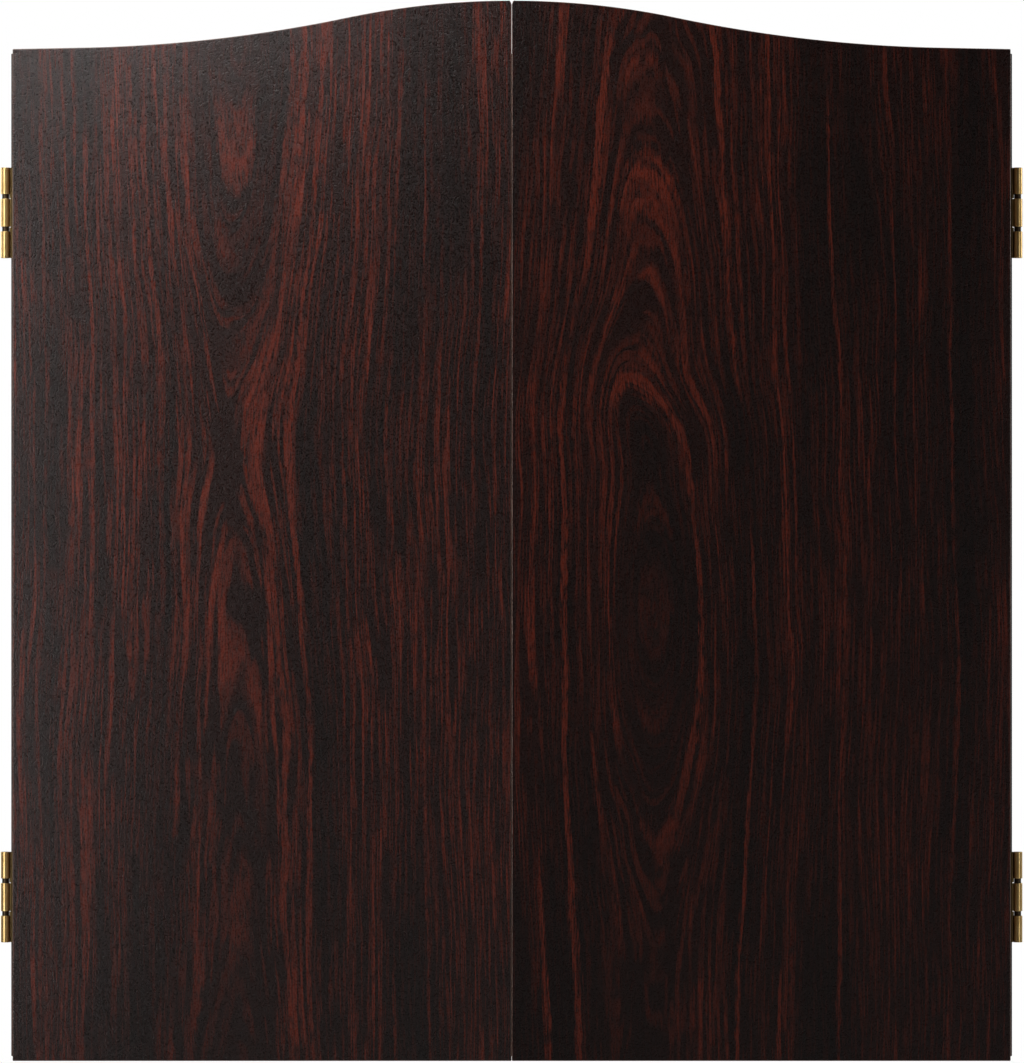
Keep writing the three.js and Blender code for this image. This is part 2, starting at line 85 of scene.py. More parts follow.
def make_world():
    """A white backdrop. The light that falls on the object is dim from the front and bright from behind.
    Each glow is the backdrop's strength in front and behind."""
    world = bpy.data.worlds.new("studio")
    world.use_nodes = True
    tree = world.node_tree
    tree.nodes.clear()
    path = tree.nodes.new("ShaderNodeLightPath")
    output = tree.nodes.new("ShaderNodeOutputWorld")
    place = tree.nodes.new("ShaderNodeTexCoord")
    split = tree.nodes.new("ShaderNodeSeparateXYZ")
    tree.links.new(place.outputs["Generated"], split.inputs[0])

    def background(front, back):
        shade = tree.nodes.new("ShaderNodeBackground")
        shade.inputs["Color"].default_value = (1.0, 1.0, 1.0, 1.0)
        step = tree.nodes.new("ShaderNodeMapRange")
        step.inputs["From Min"].default_value = -0.05
        step.inputs["From Max"].default_value = 0.45
        step.inputs["To Min"].default_value = front
        step.inputs["To Max"].default_value = back
        tree.links.new(split.outputs["Y"], step.inputs["Value"])
        tree.links.new(step.outputs["Result"], shade.inputs["Strength"])
        return shade

    def choose(test, otherwise, chosen):
        mix = tree.nodes.new("ShaderNodeMixShader")
        tree.links.new(path.outputs[test], mix.inputs[0])
        tree.links.new(otherwise.outputs[0], mix.inputs[1])
        tree.links.new(chosen.outputs[0], mix.inputs[2])
        return mix

    lit = choose("Is Glossy Ray", background(*DIFFUSE_GLOW), background(*GLOSSY_GLOW))
    shown = choose("Is Camera Ray", lit, background(*SHOWN_GLOW))
    tree.links.new(shown.outputs[0], output.inputs["Surface"])
    bpy.context.scene.world = world


def softbox(name, position, aim, width, height, power):
    """A flat area light that faces a point."""
    data = bpy.data.lights.new(name, "AREA")
    data.shape = "RECTANGLE"
    data.size = width
    data.size_y = height
    data.energy = power
    light = bpy.data.objects.new(name, data)
    light.location = position
    light.rotation_euler = (Vector(aim) - Vector(position)).to_track_quat("-Z", "Y").to_euler()
    bpy.context.scene.collection.objects.link(light)


def make_lights():
    """Two soft lights in front on the left, a strip on the right for the brass, and fill from the sides and
    the top."""
    softbox("key", (-0.24, -0.35, 0.485), (0.0, 0.0, 0.05), 0.20, 0.20, 1.55)
    softbox("left_strip", (-0.475, -0.40, 0.10), (0.0, 0.0, 0.05), 0.15, 0.78, 1.6)
    softbox("right_strip", (1.85, -1.80, 0.0), (0.0, 0.0, 0.0), 0.50, 1.6, 5.0)
    softbox("left_side", (-2.4, 0.5, 0.5), (0.0, 0.0, 0.0), 0.9, 0.9, 10.0)
    softbox("right_side", (2.4, 0.5, 0.5), (0.0, 0.0, 0.0), 0.9, 0.9, 8.0)
    softbox("top", (0.0, 0.6, 2.4), (0.0, 0.0, 0.2), 1.0, 1.0, 8.0)


def make_floor():
    """A pale, evenly lit floor, well below the hanging cabinet."""
    bm = bmesh.new()
    bmesh.ops.create_grid(bm, x_segments=1, y_segments=1, size=FLOOR_SIZE)
    floor = solid("floor", bm)
    floor.location = (0.0, 0.0, FLOOR_LEVEL)
    surface = Surface("floor_paint", roughness=0.6)
    cloud = surface.noise(surface.x / 900.0, surface.y / 900.0, 0.0)
    surface.colour(surface.blend(cloud, (0.80, 0.80, 0.80), (0.79, 0.79, 0.79)))
    path = surface.tree.nodes.new("ShaderNodeLightPath")
    seen = Field(surface.tree, path.outputs["Is Camera Ray"]) * FLOOR_GLOW
    surface.shader.inputs["Emission Color"].default_value = (1.0, 1.0, 1.0, 1.0)
    surface.tree.links.new(seen.socket, surface.shader.inputs["Emission Strength"])
    floor.data.materials.append(surface.material)


# ---------------------------------------------------------------------------------------------------
# Materials: arithmetic on shader nodes, in millimetres of the object's own space


class Field:
    """A number that varies over a surface. Arithmetic on it makes Math nodes."""

    def __init__(self, tree, socket):
        self.tree = tree
        self.socket = socket

    def math(self, operation, *others):
        node = self.tree.nodes.new("ShaderNodeMath")
        node.operation = operation
        for place, value in zip(node.inputs, (self, *others), strict=False):
            plug(self.tree, value, place)
        return Field(self.tree, node.outputs[0])

    def __add__(self, other):
        return self.math("ADD", other)

    def __sub__(self, other):
        return self.math("SUBTRACT", other)

    def __mul__(self, other):
        return self.math("MULTIPLY", other)

    def __truediv__(self, other):
        return self.math("DIVIDE", other)

    __radd__ = __add__
    __rmul__ = __mul__

    def above(self, low, high):
        """0 below low, 1 above high, and a smooth step between them."""
        node = self.tree.nodes.new("ShaderNodeMapRange")
        node.interpolation_type = "SMOOTHSTEP"
        plug(self.tree, self, node.inputs["Value"])
        node.inputs["From Min"].default_value = low
        node.inputs["From Max"].default_value = high
        return Field(self.tree, node.outputs["Result"])

    def bell(self, centre, width):
        """1 at centre, falling to 0 on both sides."""
        offset = (self - centre) / width
        return (offset * offset * -1.0).math("EXPONENT")


def plug(tree, value, socket):
    """Sets a socket to a plain value, or links a field or another socket to it."""
    if isinstance(value, Field):
        tree.links.new(value.socket, socket)
    elif isinstance(value, bpy.types.NodeSocket):
        tree.links.new(value, socket)
    else:
        socket.default_value = value


class Surface:
    """A material with one Principled shader, and the fields to build its nodes from."""

    def __init__(self, name, **constants):
        self.material = bpy.data.materials.new(name)
        self.material.use_nodes = True
        self.tree = self.material.node_tree
        self.tree.nodes.clear()
        self.shader = self.tree.nodes.new("ShaderNodeBsdfPrincipled")
        output = self.tree.nodes.new("ShaderNodeOutputMaterial")
        self.tree.links.new(self.shader.outputs[0], output.inputs["Surface"])
        for socket, value in constants.items():
            self.shader.inputs[socket.replace("_", " ").title().replace("Ior", "IOR")].default_value = value
        place = self.tree.nodes.new("ShaderNodeTexCoord")
        split = self.tree.nodes.new("ShaderNodeSeparateXYZ")
        self.tree.links.new(place.outputs["Object"], split.inputs[0])
        self.x, self.y, self.z = (Field(self.tree, split.outputs[i]) / MM for i in range(3))

    def noise(self, x, y, z, detail=2.0, roughness=0.5):
        """Smooth noise from 0 to 1. Each coordinate is already divided by the pattern's size along it."""
        join = self.tree.nodes.new("ShaderNodeCombineXYZ")
        for place, value in zip(join.inputs, (x, y, z), strict=True):
            plug(self.tree, value, place)
        node = self.tree.nodes.new("ShaderNodeTexNoise")
        node.inputs["Scale"].default_value = 1.0
        node.inputs["Detail"].default_value = detail
        node.inputs["Roughness"].default_value = roughness
        self.tree.links.new(join.outputs[0], node.inputs["Vector"])
        return Field(self.tree, node.outputs["Fac"])

    def blend(self, factor, first, second):
        """A colour that goes from first to second as factor goes from 0 to 1."""
        node = self.tree.nodes.new("ShaderNodeMix")
        node.data_type = "RGBA"
        node.clamp_factor = True
        plug(self.tree, factor, node.inputs["Factor"])
        for key, colour in (("A", first), ("B", second)):
            socket = next(s for s in node.inputs if s.name == key and s.type == "RGBA")
            plug(self.tree, (*colour, 1.0) if isinstance(colour, tuple) else colour, socket)
        return next(s for s in node.outputs if s.type == "RGBA")

    def colour(self, socket):
        self.tree.links.new(socket, self.shader.inputs["Base Color"])

    def gloss(self, roughness):
        self.tree.links.new(roughness.socket, self.shader.inputs["Roughness"])

    def bump(self, height, distance, strength=1.0):
        node = self.tree.nodes.new("ShaderNodeBump")
        node.inputs["Strength"].default_value = strength
        node.inputs["Distance"].default_value = distance
        self.tree.links.new(height.socket, node.inputs["Height"])
        self.tree.links.new(node.outputs[0], self.shader.inputs["Normal"])


# Rosewood figure. A flat-sawn board shows its rings where the cut passes near the heart of the tree: each
# ring is a line of equal distance from the heart, where depth is how far the cut lies from it.

BLACK_WOOD = (0.0045, 0.0019, 0.0014)
BROWN_WOOD = (0.016, 0.0036, 0.0023)
RED_WOOD = (0.114, 0.0152, 0.0064)
RING_SLANT = 0.8


def straight_figure(along, across):
    """Grain with no figure in it: the rings are so far from the heart that they are straight. They lie
    aslant in the board, so that its narrow faces show grain as well as its broad ones."""
    def figure(surface):
        sideways = getattr(surface, across)
        return getattr(surface, along), sideways, sideways + surface.y * RING_SLANT
    return figure


def valley_figure(surface):
    """The left door: rings that close in from the top on a deep cut, and open again slowly below it."""
    heart_x, turn_z = -147.0, 50.0
    shallow, deep, taper = 8.0, 26.0, 0.04
    across = surface.x - heart_x
    up = (surface.z - turn_z).math("MAXIMUM", 0.0)
    down = (surface.z * -1.0 + turn_z).math("MAXIMUM", 0.0)
    depth = up.bell(0.0, 135.0) * deep + shallow - down * taper
    return surface.z, across, (across * across + depth * depth).math("SQRT")


def eye_figure(surface):
    """The right door: closed rings round an eye where the cut passes through the heart, arches above it
    that lean to the left, and nearly straight lines below."""
    heart_x, eye_z = 77.4, -33.5
    lean, blunt = 10.0, 6.0
    depth_above, reach_above = 51.0, 248.0
    depth_below, reach_below = 30.0, 114.0
    across = surface.x - heart_x
    across = across + surface.z.bell(100.0, 34.0) * across.bell(-12.0, 45.0) * lean
    rise = surface.z - eye_z
    above = (rise / reach_above).math("TANH") * depth_above - surface.z.bell(66.0, 24.0) * blunt
    below = (rise / -reach_below).math("TANH") * depth_below
    depth = above.math("MAXIMUM", below)
    return surface.z, across, (across * across + depth * depth).math("SQRT")


def rosewood(name, figure, streaks=(), heart=0.0, veins=0.6, specular=0.3):
    """Dark rosewood laminate, semi-matt, with an embossed pore. The rings inside the heart are mostly dark,
    and veins is how red the fine lines are. streaks are strong red lines, as in LEFT_STREAKS."""
    surface = Surface(name, specular_ior_level=specular)
    along, across, ring = figure(surface)
    drift = surface.noise(across / 60.0, surface.y / 60.0, along / 170.0)
    ripple = surface.noise(across / 14.0, surface.y / 60.0, along / 60.0, detail=1.0)
    ring = ring + (drift - 0.5) * 14.0 + (ripple - 0.5) * 2.2
    zones = surface.noise(ring / 22.0, across / 140.0, along / 400.0, detail=1.0)
    lines = surface.noise(ring / 2.0, across / 45.0, along / 110.0, detail=1.0)
    hairs = surface.noise(ring / 1.0, across / 20.0, along / 40.0, detail=1.0)
    fibres = surface.noise(across / 0.8, surface.y / 0.8, along / 8.0, detail=1.0)
    open_grain = zones.above(0.34, 0.62)
    if heart:
        open_grain = open_grain * (ring.above(heart * 0.8, heart * 1.2) * 0.8 + 0.2)
    red = lines.above(0.55, 0.67) * (hairs.above(0.36, 0.56) * 0.6 + 0.4) * open_grain * veins
    red = red + hairs.above(0.51, 0.62) * (open_grain * 0.7 + 0.2) * veins
    ragged = (fibres - 0.5) * 1.3 + (hairs - 0.5) * 1.1
    fade = surface.noise(ring / 12.0, across / 50.0, along / 100.0, detail=1.0).above(0.30, 0.48)
    split = hairs.above(0.38, 0.54) * 0.5 + 0.5
    for place, width, strength, side, middle, reach in streaks:
        line = (ring.bell(place, width) + ragged).above(0.35, 0.95) * split * strength
        if side:
            line = line * (across * side).above(-2.0, 2.0)
        if reach:
            line = line * along.bell(middle, reach)
        red = red.math("MAXIMUM", line * fade)
    red = (red * (fibres.above(0.36, 0.56) * 0.7 + 0.3)).math("MINIMUM", 1.0)
    brown = zones.above(0.3, 0.7) * 0.5 + fibres.above(0.42, 0.68) * 0.5
    surface.colour(surface.blend(red, surface.blend(brown, BLACK_WOOD, BROWN_WOOD), RED_WOOD))
    pores = surface.noise(surface.x / 0.70, surface.y / 0.70, surface.z / 0.70, detail=1.0, roughness=0.7)
    surface.gloss(pores.above(0.36, 0.64) * 0.19 + 0.24)
    surface.bump(pores + fibres * 0.2, 0.24 * MM)
    return surface.material


def edge_band(name):
    """A lighter band on the doors' edges, glossier than the faces, with a fine grain. Part of its lightness
    is painted highlight, for the glint the rounded edges catch.
    """
    surface = Surface(name, specular_ior_level=0.5)
    grain = surface.noise(surface.x / 1.2, surface.y / 1.2, surface.z / 40.0, detail=3.0)
    blotch = surface.noise(surface.x / 9.0, surface.y / 9.0, surface.z / 70.0)
    # The band's own lighter brown, raised further as painted highlight for the glint on the rounded edges.
    light = surface.blend(grain.above(0.35, 0.65), (0.105, 0.060, 0.045), (0.165, 0.098, 0.074))
    surface.colour(surface.blend(blotch.above(0.35, 0.70), light, (0.220, 0.140, 0.108)))
    surface.gloss(grain * 0.14 + 0.18)
    surface.bump(grain, 0.05 * MM, 0.4)
    return surface.material


def brass_plate(name):
    """Brass plate, a little aged: browner in soft clouds, with fine rolling lines and a few dull specks,
    and a dark line of painted shade along the knuckles, where the door's edge shades the leaf."""
    # Where across the leaf the painted shade lies, and how wide it is, in mm.
    corner_x, painted_shade_width = 270.9, 1.3
    surface = Surface(name, metallic=1.0)
    cloud = surface.noise(surface.x / 5.0, surface.y / 5.0, surface.z / 7.0, detail=3.0)
    rolled = surface.noise(surface.x / 3.0, surface.y / 0.3, surface.z / 0.3, detail=1.0)
    speck = surface.noise(surface.x / 0.6, surface.y / 0.6, surface.z / 0.6, detail=1.0)
    clean = surface.blend(cloud.above(0.35, 0.70), (0.72, 0.51, 0.22), (0.64, 0.42, 0.16))
    used = surface.blend(speck.above(0.66, 0.80) * 0.4, clean, (0.22, 0.12, 0.045))
    # Painted shade: the leaf is coloured near black along the knuckles, where the door's edge shades it.
    corner = surface.x.math("ABSOLUTE").bell(corner_x, painted_shade_width)
    surface.colour(surface.blend(corner * 0.85, used, (0.060, 0.034, 0.014)))
    surface.gloss(cloud * 0.12 + rolled * 0.06 + 0.24)
    surface.bump(rolled + speck * 0.5, 0.010 * MM, 0.5)
    return surface.material


def plated_steel(name, light, dark, roughness):
    """Bright or dark steel with fine drawing lines and some cloudiness."""
    surface = Surface(name, metallic=1.0)
    cloud = surface.noise(surface.x / 3.0, surface.y / 3.0, surface.z / 3.0, detail=3.0)
    drawn = surface.noise(surface.x / 0.25, surface.y / 0.25, surface.z / 4.0)
    surface.colour(surface.blend(cloud.above(0.3, 0.75), light, dark))
    surface.gloss(cloud * 0.15 + drawn * 0.12 + roughness)
    surface.bump(drawn, 0.01 * MM, 0.3)
    return surface.material


def moulded(name, light, dark, texture, roughness):
    """Plastic or powder coat with a spark-eroded or orange-peel texture."""
    surface = Surface(name, specular_ior_level=0.5)
    cloud = surface.noise(surface.x / 14.0, surface.y / 14.0, surface.z / 14.0)
    grain = surface.noise(surface.x / texture, surface.y / texture, surface.z / texture, detail=3.0)
    surface.colour(surface.blend(cloud.above(0.3, 0.7), light, dark))
    surface.gloss(grain * 0.2 + roughness)
    surface.bump(grain, 0.06 * MM, 0.5)
    return surface.material


def dry_wipe(name, node):
    """A white dry-wipe film with thin ruled lines and a faint ghost of wiped marks."""
    surface = Surface(name, specular_ior_level=0.5, coat_weight=0.3, coat_roughness=0.08)
    smear = surface.noise(surface.x / 26.0, surface.y / 26.0, surface.z / 9.0, detail=4.0, roughness=0.7)
    speck = surface.noise(surface.x / 1.1, surface.y / 1.1, surface.z / 1.1, detail=2.0)
    white = surface.blend(smear.above(0.45, 0.8) * 0.6, (0.80, 0.80, 0.78), (0.68, 0.69, 0.70))
    white = surface.blend(speck.above(0.74, 0.8) * 0.5, white, (0.45, 0.45, 0.46))
    low, high = (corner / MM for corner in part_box(node))
    middle = (low.x + high.x) / 2
    border, header, rule = 9.0, 34.0, 0.45
    centre = (low.z + high.z) / 2
    beside = (surface.x - middle).math("ABSOLUTE") - (high.x - middle - border)
    beyond = (surface.z - centre).math("ABSOLUTE") - (high.z - centre - border)
    within = beside.math("MAXIMUM", beyond).math("LESS_THAN", 0.0)
    rules = surface.x.bell(middle, rule) + surface.z.bell(high.z - header, rule)
    ruled = (rules * within).math("MINIMUM", 0.85)
    surface.colour(surface.blend(ruled, white, (0.06, 0.06, 0.07)))
    surface.gloss(smear * 0.2 + 0.12)
    surface.bump(smear, 0.03 * MM, 0.3)
    return surface.material


def hardboard(name):
    """Black-brown fibreboard, matt, with loose fibres pressed into it."""
    surface = Surface(name, specular_ior_level=0.4)
    fibre = surface.noise(surface.x / 0.8, surface.y / 0.8, surface.z / 2.6, detail=5.0, roughness=0.65)
    cloud = surface.noise(surface.x / 45.0, surface.y / 45.0, surface.z / 60.0, detail=3.0)
    ground = surface.blend(cloud.above(0.3, 0.7), (0.020, 0.014, 0.011), (0.034, 0.024, 0.019))
    surface.colour(surface.blend(fibre.above(0.5, 0.75), ground, (0.060, 0.043, 0.033)))
    surface.gloss(fibre * 0.25 + 0.55)
    surface.bump(fibre, 0.12 * MM, 0.6)
    return surface.material


# Strong red lines in the doors. Each has a ring, a half width, a strength, a side of the heart (-1, 1, or 0
# for both), and a middle and reach along the grain, where a reach of 0 runs the whole way.

LEFT_STREAKS = (
    (14.5, 3.2, 0.8, 0, 215.0, 32.0),
    (20.5, 1.5, 0.7, 0, 165.0, 25.0),
    (30.0, 1.5, 0.9, 0, 210.0, 110.0),
    (35.5, 1.6, 0.9, 1, 0.0, 0.0),
    (44.5, 1.4, 0.9, 1, 0.0, 0.0),
    (66.0, 1.1, 0.7, 1, 0.0, 0.0),
    (71.5, 0.9, 0.7, 1, 130.0, 120.0),
    (76.5, 0.9, 0.7, 1, 200.0, 120.0),
    (88.0, 1.0, 0.6, 1, 0.0, 0.0),
    (104.0, 0.9, 0.6, 1, 0.0, 0.0),
    (131.0, 1.2, 0.6, 1, 0.0, 0.0),
    (33.0, 2.2, 0.8, -1, -190.0, 90.0),
    (25.0, 1.4, 0.6, 0, -190.0, 40.0),
    (42.5, 1.6, 0.8, -1, 0.0, 0.0),
    (47.0, 1.6, 0.8, -1, -30.0, 70.0),
    (53.0, 1.6, 0.8, -1, 150.0, 170.0),
    (60.0, 1.3, 0.7, -1, 210.0, 120.0),
    (66.0, 1.0, 0.7, -1, -60.0, 170.0),
    (74.0, 1.0, 0.6, -1, 100.0, 150.0),
    (86.0, 1.5, 0.8, -1, 0.0, 0.0),
    (91.5, 0.9, 0.7, -1, 0.0, 0.0),
    (97.0, 0.9, 0.7, -1, 0.0, 0.0),
    (109.0, 1.0, 0.5, -1, 0.0, 0.0),
)

RIGHT_STREAKS = (
    (24.5, 1.7, 1.0, 1, -30.0, 140.0),
    (24.0, 1.2, 0.9, -1, -30.0, 140.0),
    (11.0, 2.0, 0.30, 0, 24.0, 14.0),
    (3.5, 3.0, 0.25, 0, -32.0, 26.0),
    (13.5, 2.2, 0.30, 0, -89.0, 14.0),
    (22.8, 2.2, 1.0, 0, 92.0, 14.0),
    (22.5, 2.6, 1.0, 1, 80.0, 30.0),
    (20.5, 0.9, 0.7, -1, 20.0, 60.0),
    (27.5, 1.6, 0.7, 1, 104.0, 12.0),
    (28.5, 0.9, 0.7, -1, 60.0, 100.0),
    (30.5, 2.0, 0.9, 0, 145.0, 24.0),
    (34.5, 1.6, 0.9, -1, 120.0, 60.0),
    (37.5, 3.0, 1.0, 0, 205.0, 32.0),
    (43.0, 1.8, 0.9, 0, 268.0, 14.0),
    (36.0, 1.5, 0.8, 1, 85.0, 50.0),
    (36.0, 1.0, 0.7, -1, -100.0, 120.0),
    (42.5, 1.4, 0.8, -1, 110.0, 160.0),
    (50.0, 2.0, 0.9, -1, 0.0, 0.0),
    (56.0, 0.9, 0.7, -1, 60.0, 150.0),
    (66.0, 2.3, 0.9, -1, 0.0, 0.0),
    (53.0, 1.3, 0.9, 1, 0.0, 0.0),
    (57.5, 0.9, 0.7, 1, 180.0, 110.0),
    (73.0, 1.2, 0.9, 1, 0.0, 0.0),
    (78.0, 0.8, 0.7, 1, 0.0, 0.0),
    (103.0, 1.2, 0.8, 1, 0.0, 0.0),
    (132.0, 0.9, 0.6, 1, 0.0, 0.0),
    (163.0, 1.2, 0.6, 1, 0.0, 0.0),
)


def make_materials():
    """One material for each kind of surface, and the edge band."""
    upright = straight_figure("z", "x")
    lying = straight_figure("x", "z")
    return {
        "left_door": rosewood("rosewood_left_door", valley_figure, LEFT_STREAKS, 28.0, 0.68, 0.52),
        "right_door": rosewood("rosewood_right_door", eye_figure, RIGHT_STREAKS, 22.0, 0.42, 0.34),
        "upright": rosewood("rosewood_upright", upright),
        "lying": rosewood("rosewood_lying", lying),
        "band": edge_band("rosewood_edge_band"),
        "brass": brass_plate("brass_plate"),
        # The pin is coloured a dark brown, near black.
        "pin": plated_steel("dark_brown_steel", (0.070, 0.050, 0.032), (0.030, 0.021, 0.015), 0.30),
        "steel": plated_steel("zinc_plate", (0.56, 0.56, 0.57), (0.38, 0.38, 0.40), 0.22),
        "paint": moulded("black_powder_coat", (0.014, 0.014, 0.015), (0.022, 0.022, 0.023), 0.9, 0.34),
        "plastic": moulded("black_plastic", (0.016, 0.016, 0.016), (0.024, 0.024, 0.023), 0.45, 0.42),
        "catch": moulded("brown_plastic", (0.060, 0.030, 0.018), (0.045, 0.022, 0.014), 0.45, 0.36),
        "ferrite": moulded("ferrite", (0.045, 0.043, 0.043), (0.070, 0.068, 0.066), 0.30, 0.40),
        "left_film": dry_wipe("dry_wipe_film_left", "left_scoreboard"),
        "right_film": dry_wipe("dry_wipe_film_right", "right_scoreboard"),
        "panel": hardboard("black_hardboard"),
    }


# ---------------------------------------------------------------------------------------------------
# Mesh work


def solid(name, bm):
    """A mesh in the scene, not yet a piece of the object."""
    bmesh.ops.recalc_face_normals(bm, faces=bm.faces)
    mesh = bpy.data.meshes.new(name)
    bm.to_mesh(mesh)
    bm.free()
    part = bpy.data.objects.new(name, mesh)
    bpy.context.scene.collection.objects.link(part)
    return part


def block(low, high):
    bm = bmesh.new()
    centre = (Vector(low) + Vector(high)) / 2
    size = Vector(high) - Vector(low)
    bmesh.ops.create_cube(bm, size=1.0, matrix=Matrix.Translation(centre) @ Matrix.Diagonal((*size, 1.0)))
    return bm


def upright_plane(a, b, at):
    """Places an outline in X and Z, run along Y."""
    return (a, at, b)


def plan_plane(a, b, at):
    """Places an outline in X and Y, run along Z."""
    return (a, b, at)


def section_plane(a, b, at):
    """Places an outline in Y and Z, run along X."""
    return (at, a, b)


def prism(outline, start, end, place, end_scale=1.0):
    """An outline of (a, b) points, run from start to end, where it may be smaller."""
    bm = bmesh.new()
    first = [bm.verts.new(place(a, b, start)) for a, b in outline]
    last = [bm.verts.new(place(a * end_scale, b * end_scale, end)) for a, b in outline]
    bm.faces.new(first)
    bm.faces.new(last)
    for i in range(len(outline)):
        j = (i + 1) % len(outline)
        bm.faces.new((first[i], first[j], last[j], last[i]))
    return bm


def turned(profile, segments=48):
    """A solid turned about Z from (radius, height) points. The profile starts and ends on the axis, or
    never meets it and closes on itself."""
    bm = bmesh.new()
    rings = []
    for radius, height in profile:
        angles = [math.tau * i / segments for i in range(segments if radius else 1)]
        rings.append([bm.verts.new((radius * math.cos(t), radius * math.sin(t), height)) for t in angles])
    pairs = list(zip(rings, rings[1:], strict=False))
    if profile[0][0] > 0.0:
        pairs.append((rings[-1], rings[0]))
    for below, above in pairs:
        for i in range(segments):
            j = i + 1
            corners = [below[i % len(below)], below[j % len(below)]]
            corners += [above[j % len(above)], above[i % len(above)]]
            bm.faces.new(dict.fromkeys(corners))
    return bm


def rounded(corners, steps=6):
    """An outline from (a, b, radius) corners, each rounded to its radius."""
    points = []
    for i, (a, b, radius) in enumerate(corners):
        corner = Vector((a, b))
        if not radius:
            points.append((a, b))
            continue
        before, after = (Vector(corners[k % len(corners)][:2]) - corner for k in (i - 1, i + 1))
        before.normalize()
        after.normalize()
        half = before.angle(after) / 2
        centre = corner + (before + after).normalized() * (radius / math.sin(half))
        start, end = (corner + way * (radius / math.tan(half)) - centre for way in (before, after))
        turn = start.angle_signed(end)
        for step in range(steps + 1):
            angle = -turn * step / steps
            point = centre + Matrix.Rotation(angle, 2) @ start
            points.append((point.x, point.y))
    return points


def rounded_rectangle(low, high, radius, steps=6):
    corners = ((low[0], low[1]), (high[0], low[1]), (high[0], high[1]), (low[0], high[1]))
    return rounded([(a, b, radius) for a, b in corners], steps)


def settle(part):
    """Applies the modifiers of a mesh."""
    graph = bpy.context.evaluated_depsgraph_get()
    shape = part.evaluated_get(graph)
    mesh = bpy.data.meshes.new_from_object(shape, preserve_all_data_layers=True, depsgraph=graph)
    part.modifiers.clear()
    part.data = mesh
    return part


def combine(part, operation, *tools):
    """Joins tools to a mesh, or cuts them out of it, or keeps what they share. Uses the tools up."""
    for index, tool in enumerate(tools):
        cutter = solid(f"{part.name}_tool_{index}", tool)
        modifier = part.modifiers.new("combine", "BOOLEAN")
        modifier.operation = operation
        modifier.solver = "EXACT"
        modifier.object = cutter
        settle(part)
        bpy.data.objects.remove(cutter)
    return part


def soften(part, width, segments=3, angle=30.0):
    """Rounds the edges that are sharper than angle."""
    modifier = part.modifiers.new("soften", "BEVEL")
    modifier.width = width
    modifier.segments = segments
    modifier.limit_method = "ANGLE"
    modifier.angle_limit = math.radians(angle)
    return settle(part)


def piece(part, body, materials, node, smooth=35.0):
    """Makes a mesh a piece of the object: shades it, and lets it stand for its CAD node."""
    part.data.shade_smooth()
    part.data.set_sharp_from_angle(angle=math.radians(smooth))
    modifier = part.modifiers.new("normals", "WEIGHTED_NORMAL")
    modifier.keep_sharp = True
    settle(part)
    part.data.materials.clear()
    for material in materials:
        part.data.materials.append(material)
    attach(part, body)
    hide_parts(node)
    return part


# ---------------------------------------------------------------------------------------------------
# Screws: drawn along +Z with the head's face at z = 0

SCREW_HEAD = 2.6 * MM
SCREW_SHANK = 1.25 * MM
HOLE_PLAY = 0.3 * MM
RECESS_ARM = 1.5 * MM
RECESS_HALF_WIDTH = 0.33 * MM
RECESS_DEPTH = 1.3 * MM
THREAD_ROOT = 0.95 * MM
THREAD_PITCH = 1.0 * MM
SCREW_TIP = 2 * MM
HEADS = {
    "front": Matrix.Rotation(math.pi / 2, 4, "X"),
    "back": Matrix.Rotation(-math.pi / 2, 4, "X"),
    "down": Matrix.Rotation(math.pi, 4, "X"),
}


def screw_place(node, facing):
    """Where a screw's head is, from its CAD node: the middle of the face that looks that way."""
    low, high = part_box(node)
    place = (low + high) / 2
    if facing == "front":
        place.y = low.y
    elif facing == "back":
        place.y = high.y
    else:
        place.z = low.z
    return Matrix.Translation(place) @ HEADS[facing]


def screw_hole(node, facing):
    """The countersunk hole for a screw, as a tool."""
    low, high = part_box(node)
    length = (high - low).y if facing != "down" else (high - low).z
    bore = SCREW_SHANK + HOLE_PLAY
    rim = SCREW_HEAD + HOLE_PLAY
    above = 5 * MM
    bottom = -length - HOLE_PLAY
    tool = turned([(0, bottom), (bore, bottom), (bore, bore - rim), (rim, 0), (rim, above), (0, above)], 32)
    bmesh.ops.transform(tool, matrix=screw_place(node, facing), verts=tool.verts)
    return tool


def make_screw(node, facing, body, material, turn):
    """A countersunk wood screw with a cross recess. turn is where its driver stopped."""
    low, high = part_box(node)
    length = (high - low).y if facing != "down" else (high - low).z
    neck = SCREW_SHANK - SCREW_HEAD
    rim = 0.2 * MM
    root, crest, pitch = THREAD_ROOT, SCREW_SHANK, THREAD_PITCH
    thread = []
    height = -length + SCREW_TIP
    while height + pitch < neck - 0.5 * MM:
        thread += [(root, height), (crest, height + 0.45 * pitch), (crest, height + 0.55 * pitch)]
        height += pitch
    profile = [(0, -length), (0.2 * MM, -length + 0.2 * MM), *thread, (root, height), (SCREW_SHANK, neck)]
    profile += [(SCREW_HEAD, -rim), (SCREW_HEAD - rim / 2, -rim / 8), (SCREW_HEAD * 0.7, 0), (0, 0)]
    part = solid(f"{node}_turned", turned(profile, 32))
    arm, half = RECESS_ARM, RECESS_HALF_WIDTH
    cross = [(arm, half), (half, half), (half, arm), (-half, arm), (-half, half), (-arm, half)]
    cross += [(-a, -b) for a, b in cross]
    tool = prism([(a, b) for a, b in cross], RECESS_DEPTH / 10, -RECESS_DEPTH, plan_plane, 0.35)
    combine(part, "DIFFERENCE", tool)
    part.matrix_world = screw_place(node, facing) @ Matrix.Rotation(turn, 4, "Z")
    return piece(part, body, (material,), node)


# ---------------------------------------------------------------------------------------------------
# Doors and carcass

